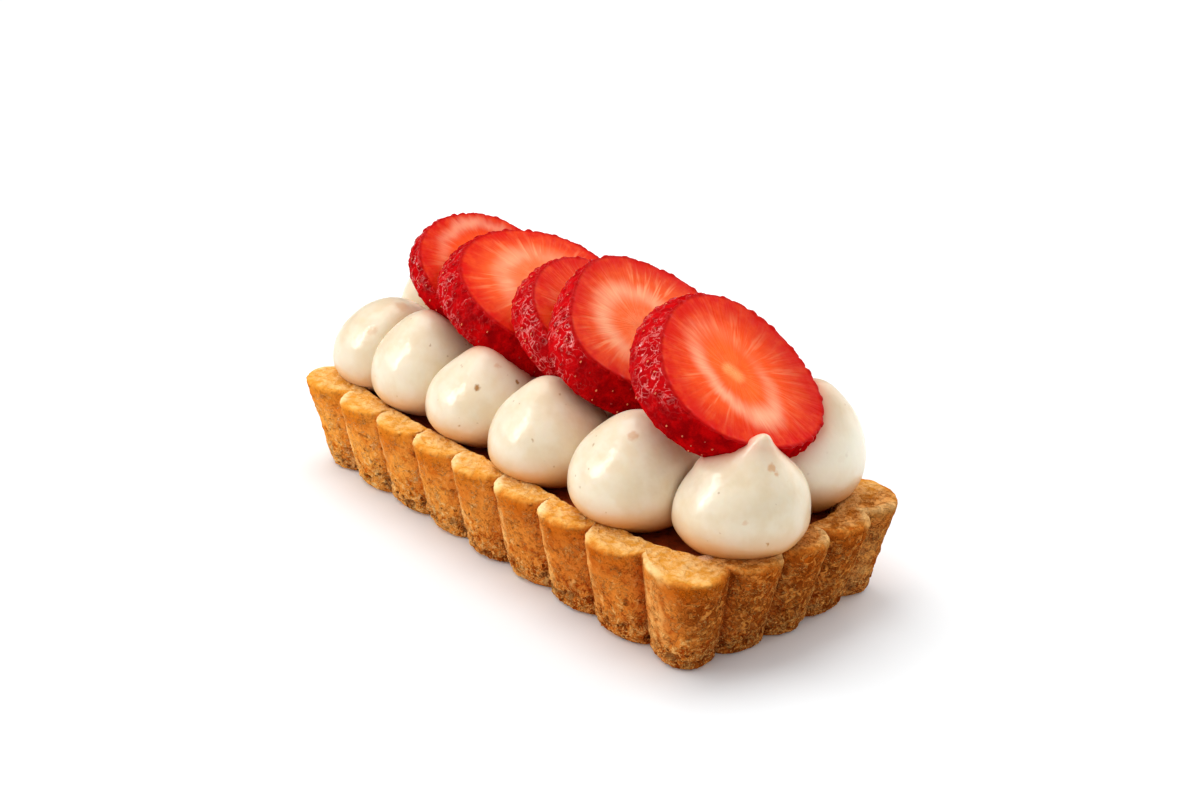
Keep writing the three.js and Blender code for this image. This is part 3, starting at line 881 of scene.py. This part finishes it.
def drop_rows(name):
    """Rows of a drop from its base to its tip, flattened where it meets its neighbours."""
    x, y, radius, belly, rise, lean, dome = DROPS[name]
    angle = 2 * math.pi * np.arange(DROP_SEGMENTS) / DROP_SEGMENTS
    circle = np.column_stack([np.cos(angle), np.sin(angle)])
    base = radius * math.sqrt(1 - BELLY_SHARE**2)
    profile = [(base * share, 0.0) for share in (0.3, 0.7)]
    for turn in np.linspace(-math.asin(BELLY_SHARE), 0, BELLY_ROWS):
        profile.append((radius * math.cos(turn), belly + belly / BELLY_SHARE * math.sin(turn)))
    for up in np.sin(steps(0, QUARTER, SHOULDER_ROWS - 1)[:-1]):
        profile.append((radius * float(shoulder_radius(up, dome)), belly + rise * up))
    profile = np.array(profile)
    grid = np.zeros((len(profile), DROP_SEGMENTS, 3))
    grid[..., :2] = profile[:, None, :1] * circle[None]
    grid[..., 2] = profile[:, None, 1]
    up = np.clip((grid[..., 2] - belly) / rise, 0, 1)
    for fold_name, way, place, wide, high, out in FOLDS:
        if fold_name == name:
            turn = (np.degrees(angle) - way + 180) % 360 - 180
            bulge = out * np.exp(-((turn / wide) ** 2) - ((up - place) / high) ** 2)
            grid[..., :2] += circle[None] * bulge[..., None]
    grid[..., :2] += np.array(lean) * (up**LEAN_CURVE)[..., None]
    for other, (ox, oy, other_radius, *_) in DROPS.items():
        if other == name:
            continue
        way = np.array([ox - x, oy - y], float)
        distance = np.linalg.norm(way)
        way /= distance
        meeting = (distance**2 + radius**2 - other_radius**2) / (2 * distance) - DROP_GAP / 2
        reach = grid[..., :2] @ way
        grid[..., :2] += way * (soft_limit(reach, meeting) - reach)[..., None]
    return grid + [x, y, DROP_BASE - DROP_SINK]


def build_drops(material, rooms):
    """The drops, cut out where the solids in rooms are."""
    for name in DROPS:
        rows = drop_rows(name)
        seed = sum(ord(letter) for letter in name)
        middle = rows.mean(1, keepdims=True)
        slow = fractal((rows - middle) * [1, 1, 0.5], 7, seed, 2) * DROP_UNEVENNESS
        slow *= smoothstep(0, 6, np.arange(len(rows)))[:, None]
        rows = rows + row_normals(rows) * slow[..., None]
        item = make_mesh("piped_" + name, *closed_rows(rows))
        cut(item, rooms, 40)
        set_attribute(item, "berry_bounce", berry_bounce_at(positions(item)))
        finish_piece(item, material, "cream", name)


def berry_bounce_at(place):
    """How strongly the painted reflection of the slices' red light colours the cream: near the slices' skin.
    """
    nearest = np.min([slice_distance(place, index) for index in range(len(SLICES))], axis=0)
    return np.exp(-np.clip(nearest, 0, None) / BOUNCE_REACH)


def keep_out_solid():
    """The room that the drops keep out of: the case's wall and all around it."""
    wide = [cavity_row(CAVITY_TOP, -KEEP_OUT_REACH, z, ROOM_PER_FLUTE) for z in (0, CASE_HEIGHT + DROP_GAP)]
    inner = [cavity_at(z, DROP_GAP, ROOM_PER_FLUTE) for z in (CASE_HEIGHT + DROP_GAP, CASE_FLOOR)]
    return make_mesh("wall_room", *closed_rows([*wide, *inner]))


# ---- strawberries ----


def slice_axes(index):
    """Middle of a slice's cut face, and its axes sideways, out of the face and up along it."""
    face, tilt, turn = SLICES[index][:3]
    t, p = math.radians(tilt), math.radians(turn)
    normal = np.array([math.cos(t) * math.cos(p), math.cos(t) * math.sin(p), math.sin(t)])
    sideways = np.array([-math.sin(p), math.cos(p), 0.0])
    return np.array(face, float), sideways, normal, np.cross(sideways, normal)


def slice_local(place, index):
    """Coordinates across the face, out of it and along it, and the angle and share of its outline."""
    across, along, thick, _, shift = SLICES[index][3:]
    face, sideways, normal, upward = slice_axes(index)
    way = place - face
    u, out = way @ sideways, way @ normal
    w = way @ upward + shift * np.clip(-out / thick, 0, 1)
    angle = np.arctan2(w / along, u / across)
    return u, out, w, angle, np.hypot(u / across, w / along) / outline_scale(angle, index)


def outline_scale(angle, index):
    count, size, turned = LOBES[index]
    return 1 + size * np.cos(count * angle - turned)


def slice_size(depth, index):
    """Size against the cut face, at a depth from 0 there to 1 at the back."""
    across, _, _, back, _ = SLICES[index][3:]
    return 1 + (back - 1) * depth + SLICE_BULGE / across * np.sin(math.pi * depth)


def slice_distance(place, index):
    """Roughly how far a point is outside a slice."""
    across, along, thick, *_ = SLICES[index][3:]
    _, out, _, _, rho = slice_local(place, index)
    side = (rho / slice_size(np.clip(-out / thick, 0, 1), index) - 1) * min(across, along)
    return np.maximum(side, np.maximum(out, -out - thick))


def slice_rows(index, grow, fine=True):
    """Rows of a slice from the middle of its back to the middle of its cut face, in its own coordinates."""
    across, along, thick, _, shift = SLICES[index][3:]
    segments, skin_rows, face_rows = (SLICE_SEGMENTS, SKIN_ROWS, FACE_ROWS) if fine else ROOM_ROWS
    angle = 2 * math.pi * np.arange(segments) / segments
    round_off = FACE_ROUNDING if fine else 0.0
    turns = np.linspace(0, QUARTER, 4) if fine else np.zeros(0)
    low, high = -thick - grow, grow
    profile = []  # share of the outline, inset from it, height and share of the skin's relief
    for share in np.linspace(0.1, 1, BACK_ROWS, endpoint=False):
        profile.append((share, 0.0, low, 0.0))
    for turn in turns[:-1]:
        profile.append((1, round_off * (1 - math.sin(turn)), low + round_off * (1 - math.cos(turn)), 0.0))
    for height in np.linspace(low + round_off, high - round_off, skin_rows):
        profile.append((1, 0.0, height, 1.0))
    for turn in turns[1:]:
        profile.append((1, round_off * (1 - math.cos(turn)), high - round_off * (1 - math.sin(turn)), 0.6))
    for share in steps(1, 0.03, face_rows):
        profile.append((share, round_off, high, 0.0))
    scallops = round(math.pi * (across + along) / SCALLOP_SPACING)
    wandering = angle + 0.035 * np.sin(5 * angle + index) + 0.02 * np.sin(11 * angle + 2 * index)
    notch = (1 - np.abs(np.sin(scallops / 2 * wandering))) ** 2.5 * (0.6 + 0.4 * np.sin(7 * angle + index))
    uneven = outline_scale(angle, index)
    rows = np.zeros((len(profile), segments, 3))
    for row, (share, inset, height, _) in zip(rows, profile):
        depth = min(max(-height / thick, 0), 1)
        size = share * slice_size(depth, index)
        if fine:
            inset = inset + SCALLOP_DEPTH * notch * math.exp(min(height, 0) / SCALLOP_REACH) * share**8
        row[:, 0] = size * np.cos(angle) * (across * uneven + grow - inset)
        row[:, 1] = height
        row[:, 2] = size * np.sin(angle) * (along * uneven + grow - inset) - shift * depth
    return rows, np.array(profile)[:, 3], angle


def seed_places(index):
    """Angle and depth of each seed on a slice's skin, in staggered columns."""
    across, along, thick, *_ = SLICES[index][3:]
    columns = int(round(math.pi * (across + along) / SEED_SPACING))
    spacing = SEED_SPACING * 0.95
    source = np.random.RandomState(300 + index)
    places = []
    for column in range(columns):
        start = 0.15 + (0.5 if column % 2 else 0.0) * spacing
        depth = start + source.uniform(-0.3, 0.3)
        while depth < thick + 0.3:
            angle = 2 * math.pi * (column + source.uniform(-0.22, 0.22)) / columns
            places.append((angle, depth + source.uniform(-0.25, 0.25)))
            depth += spacing
    return np.array(places)


def pit_distance(angle, out, places, index):
    """How far from the nearest seed's pit the skin is, where 1 is the pit's edge."""
    across, along = SLICES[index][3:5]
    nearest = np.full(np.broadcast(angle, out).shape, 3.0)
    for seed_angle, seed_depth in places:
        turn = (angle - seed_angle + math.pi) % (2 * math.pi) - math.pi
        beside = turn * (across + along) / 2
        nearest = np.minimum(nearest, np.hypot(beside / PIT_WIDTH, (out + seed_depth) / PIT_LENGTH))
    return nearest


def to_world(rows, index):
    face, sideways, normal, upward = slice_axes(index)
    return rows[..., :1] * sideways + rows[..., 1:2] * normal + rows[..., 2:] * upward + face


def build_slices(material, seeds_material):
    """The slices and their seeds. The slices' rooms, which are for cutting, are returned."""
    rooms, seed_points, seed_faces = [], [], []
    for index in range(len(SLICES)):
        rows, skin, angle = slice_rows(index, -BERRY_ROOM)
        places = seed_places(index)
        dimple = np.exp(-(pit_distance(angle, rows[..., 1], places, index) ** 4))
        swell = np.clip(fractal(rows, 2.2, 500 + index, 2) * 0.1, -0.2, 0.14)
        push = (swell * (1 - dimple) - DIMPLE_DEPTH * dimple) * skin[:, None]
        rows = rows + row_normals(rows) * push[..., None]
        relief = np.clip(fractal(rows, 3.5, 600 + index, 3) * 0.07, -0.12, 0.0)
        rows[1 - FACE_ROWS :, :, 1] += relief[1 - FACE_ROWS :]
        item = make_mesh(f"berry_slice_{index + 1}", *closed_rows(to_world(rows, index)))
        if rooms:
            cut(item, rooms[-1:], 50)
        mark_slice(item, index, places)
        finish_piece(item, material, "strawberry", f"strawberry_slice_{index + 1}")
        room_rows, *_ = slice_rows(index, BERRY_GAP, fine=False)
        rooms.append(make_mesh(f"berry_room_{index + 1}", *closed_rows(to_world(room_rows, index))))
        add_seeds(seed_points, seed_faces, rows, angle, places, index)
    seeds = make_mesh("berry_seeds", np.concatenate(seed_points), seed_faces)
    finish_piece(seeds, seeds_material, "strawberry")
    return rooms


def pale_at(ray, index):
    """How pale the ring around the core is at an angle."""
    weakest, way, power, strongest = PALE[index]
    return strongest * (weakest + (1 - weakest) * (0.5 + 0.5 * np.cos(ray - way)) ** power)


def heart_at(u, w, index):
    """Distance from the heart's line, where 0.5 is its edge."""
    if HEARTS[index] is None:
        return np.full(len(u), NO_HEART)
    radii = SLICES[index][3:5]
    a, b, half = HEARTS[index]
    a, b = np.array(a) * radii, np.array(b) * radii
    place = np.column_stack([u, w])
    share = np.clip((place - a) @ (b - a) / ((b - a) @ (b - a)), 0, 1)
    return np.linalg.norm(place - a - share[:, None] * (b - a), axis=1) / half / 2


def mark_slice(item, index, places):
    """Attributes that tell the fruit's material where on a slice a point is."""
    across, along = SLICES[index][3:5]
    u, out, w, angle, rho = slice_local(positions(item), index)
    (core_u, core_w), wide, high = CORES[index]
    a, b = u / across - core_u, w / along - core_w
    q = np.hypot(a / wide, b / high)
    ray = np.arctan2(b, a)
    low, high, much = SHEEN_ZONES[index]
    # Where the skin faces the lamps, for its painted sheen and highlights
    lit_sheen = much * smoothstep(low, high, 0.5 + 0.5 * np.cos(angle - SHEEN_WAY)) * smoothstep(0, 0.5, -out)
    marks = {
        "pale": pale_at(ray, index),
        "look": np.tile(LOOKS[index], (len(u), 1)),
        "heart": heart_at(u, w, index),
        "lit_sheen": lit_sheen,
        "zone": np.column_stack([q, rho, -out - BERRY_ROOM]),
        "ray": np.column_stack([np.cos(ray), np.sin(ray), np.full(len(u), 7.0 * index)]),
        "pit": pit_distance(angle, out, places, index),
    }
    for name, values in marks.items():
        set_attribute(item, name, values)


def add_seeds(points, faces, rows, angle, places, index):
    """A seed in most of the dimples, lying along the berry."""
    thick = SLICES[index][5]
    normals = row_normals(rows)
    _, sideways, normal, upward = slice_axes(index)
    heights = rows[:, 0, 1]
    skin = range(BACK_ROWS + 1, len(rows) - FACE_ROWS)
    source = np.random.RandomState(900 + index)
    for seed_angle, seed_depth in places:
        size = source.uniform(0.85, 1.15)
        if seed_depth > thick - 0.3 or seed_depth < 0.6 or source.rand() < SEEDS_LOST:
            continue
        row = min(skin, key=lambda r: abs(heights[r] + seed_depth))
        column = int(round((seed_angle % (2 * math.pi)) / (2 * math.pi) * len(angle))) % len(angle)
        world = to_world(rows[row, column][None], index)[0]
        n = normals[row, column]
        n = n[0] * sideways + n[1] * normal + n[2] * upward
        long = normal - n * (normal @ n)
        long /= np.linalg.norm(long)
        wide = np.cross(n, long)
        lean = source.uniform(-0.3, 0.3)
        c, s = math.cos(lean), math.sin(lean)
        long, wide = long * c + wide * s, wide * c - long * s
        start = sum(len(p) for p in points)
        ring = []
        for level in steps(-1, 1, SEED_LEVELS + 1)[:-1]:
            half = SEED_WIDTH / 2 * math.sqrt(1 - level**2) * (1 - 0.25 * level)
            for turn in np.arange(SEED_TURNS) * 2 * math.pi / SEED_TURNS:
                lift = SEED_LIFT + SEED_FLATNESS * half * math.sin(turn)
                spot = n * lift + wide * half * math.cos(turn) + long * SEED_LENGTH / 2 * level
                ring.append(world + spot * size)
        for end in (-1, 1):
            ring.append(world + n * SEED_LIFT + end * long * SEED_LENGTH / 2 * size)
        points.append(np.array(ring))
        last = SEED_TURNS * (SEED_LEVELS - 1)
        first_end = start + SEED_TURNS * SEED_LEVELS
        for turn in range(SEED_TURNS):
            a, b = start + turn, start + (turn + 1) % SEED_TURNS
            for level in range(0, last, SEED_TURNS):
                faces.append([level + a, level + b, level + b + SEED_TURNS, level + a + SEED_TURNS])
            faces.append([first_end, b, a])
            faces.append([first_end + 1, last + a, last + b])


# ---- stage ----


def build_camera():
    """The camera, and its axes to the right, up and back."""
    azimuth, elevation, roll = (math.radians(angle) for angle in CAMERA_ANGLES)
    across = math.cos(elevation)
    back = Vector((math.sin(azimuth) * across, -math.cos(azimuth) * across, math.sin(elevation)))
    right = (-back).cross(Vector((0, 0, 1))).normalized()
    up = back.cross(right)
    right, up = right * math.cos(roll) - up * math.sin(roll), up * math.cos(roll) + right * math.sin(roll)
    data = bpy.data.cameras.new("camera")
    data.lens = CAMERA_LENS
    data.sensor_width = 36
    data.sensor_fit = "HORIZONTAL"
    data.clip_start = 0.01
    camera = add_object("camera", data)
    basis = Matrix((right, up, back)).transposed().to_4x4()
    camera.matrix_world = Matrix.Translation(Vector(CAMERA_PLACE) * MM) @ basis
    bpy.context.scene.camera = camera
    return right, up, back


def add_light(name, place, size, power, colour=(1, 1, 1)):
    data = bpy.data.lights.new(name, "AREA")
    data.shape = "RECTANGLE"
    data.size, data.size_y = size
    data.energy = power
    data.color = colour
    light = add_object(name, data)
    light.location = place
    light.rotation_mode = "QUATERNION"
    light.rotation_quaternion = (Vector(place) - LIT_PLACE).to_track_quat("Z", "Y")
    return light


def build_lights(right, up, back):
    key = LIT_PLACE + (right * -0.84 + up * 0.43 + back * 0.36).normalized() * 0.5
    shine = add_light("key", key, (0.08, 0.34), 1.4, (1.0, 0.98, 0.96))
    shine.visible_diffuse = False  # it only makes the highlights, as its shadow would reach too far
    add_light("top", (-0.24, 0.0, 0.73), (0.6, 0.6), 3.3)
    add_light("side", (-0.35, -0.44, 0.26), (0.4, 0.3), 1.15)
    fill = LIT_PLACE + (right * 0.6 - back * 0.3 + up * 0.5).normalized() * 0.55
    add_light("fill", fill, (0.45, 0.45), 1.1)
    world = bpy.data.worlds.new("world")
    bpy.context.scene.world = world
    world.use_nodes = True
    tree = world.node_tree
    sky = tree.nodes["Background"]
    sky.inputs[0].default_value = (1, 1, 1, 1)
    path = tree.nodes.new("ShaderNodeLightPath")
    strength = tree.nodes.new("ShaderNodeMapRange")
    strength.inputs["To Min"].default_value = SKY_LIGHT
    strength.inputs["To Max"].default_value = SKY_REFLECTED
    tree.links.new(path.outputs["Is Glossy Ray"], strength.inputs["Value"])
    tree.links.new(strength.outputs[0], sky.inputs[1])


def build_floor():
    half = FLOOR_SIZE / 2
    corners = [(-half, -half, 0), (half, -half, 0), (half, half, 0), (-half, half, 0)]
    mesh = bpy.data.meshes.new("floor")
    mesh.from_pydata(corners, [], [(0, 1, 2, 3)])
    mesh.materials.append(floor_material())
    floor = add_object("floor", mesh)
    floor.location.z = FLOOR_LEVEL


def main():
    view = bpy.context.scene.view_settings
    view.view_transform = "Standard"
    view.look = "None"
    view.exposure = 0.0
    axes = build_camera()
    build_floor()
    build_lights(*axes)
    build_case(crust_material())
    build_filling(filling_material())
    wall = keep_out_solid()
    rooms = build_slices(fruit_material(), seed_material())
    build_drops(cream_material(), [wall, *rooms])
    for item in (wall, *rooms):
        bpy.data.objects.remove(item)


main()
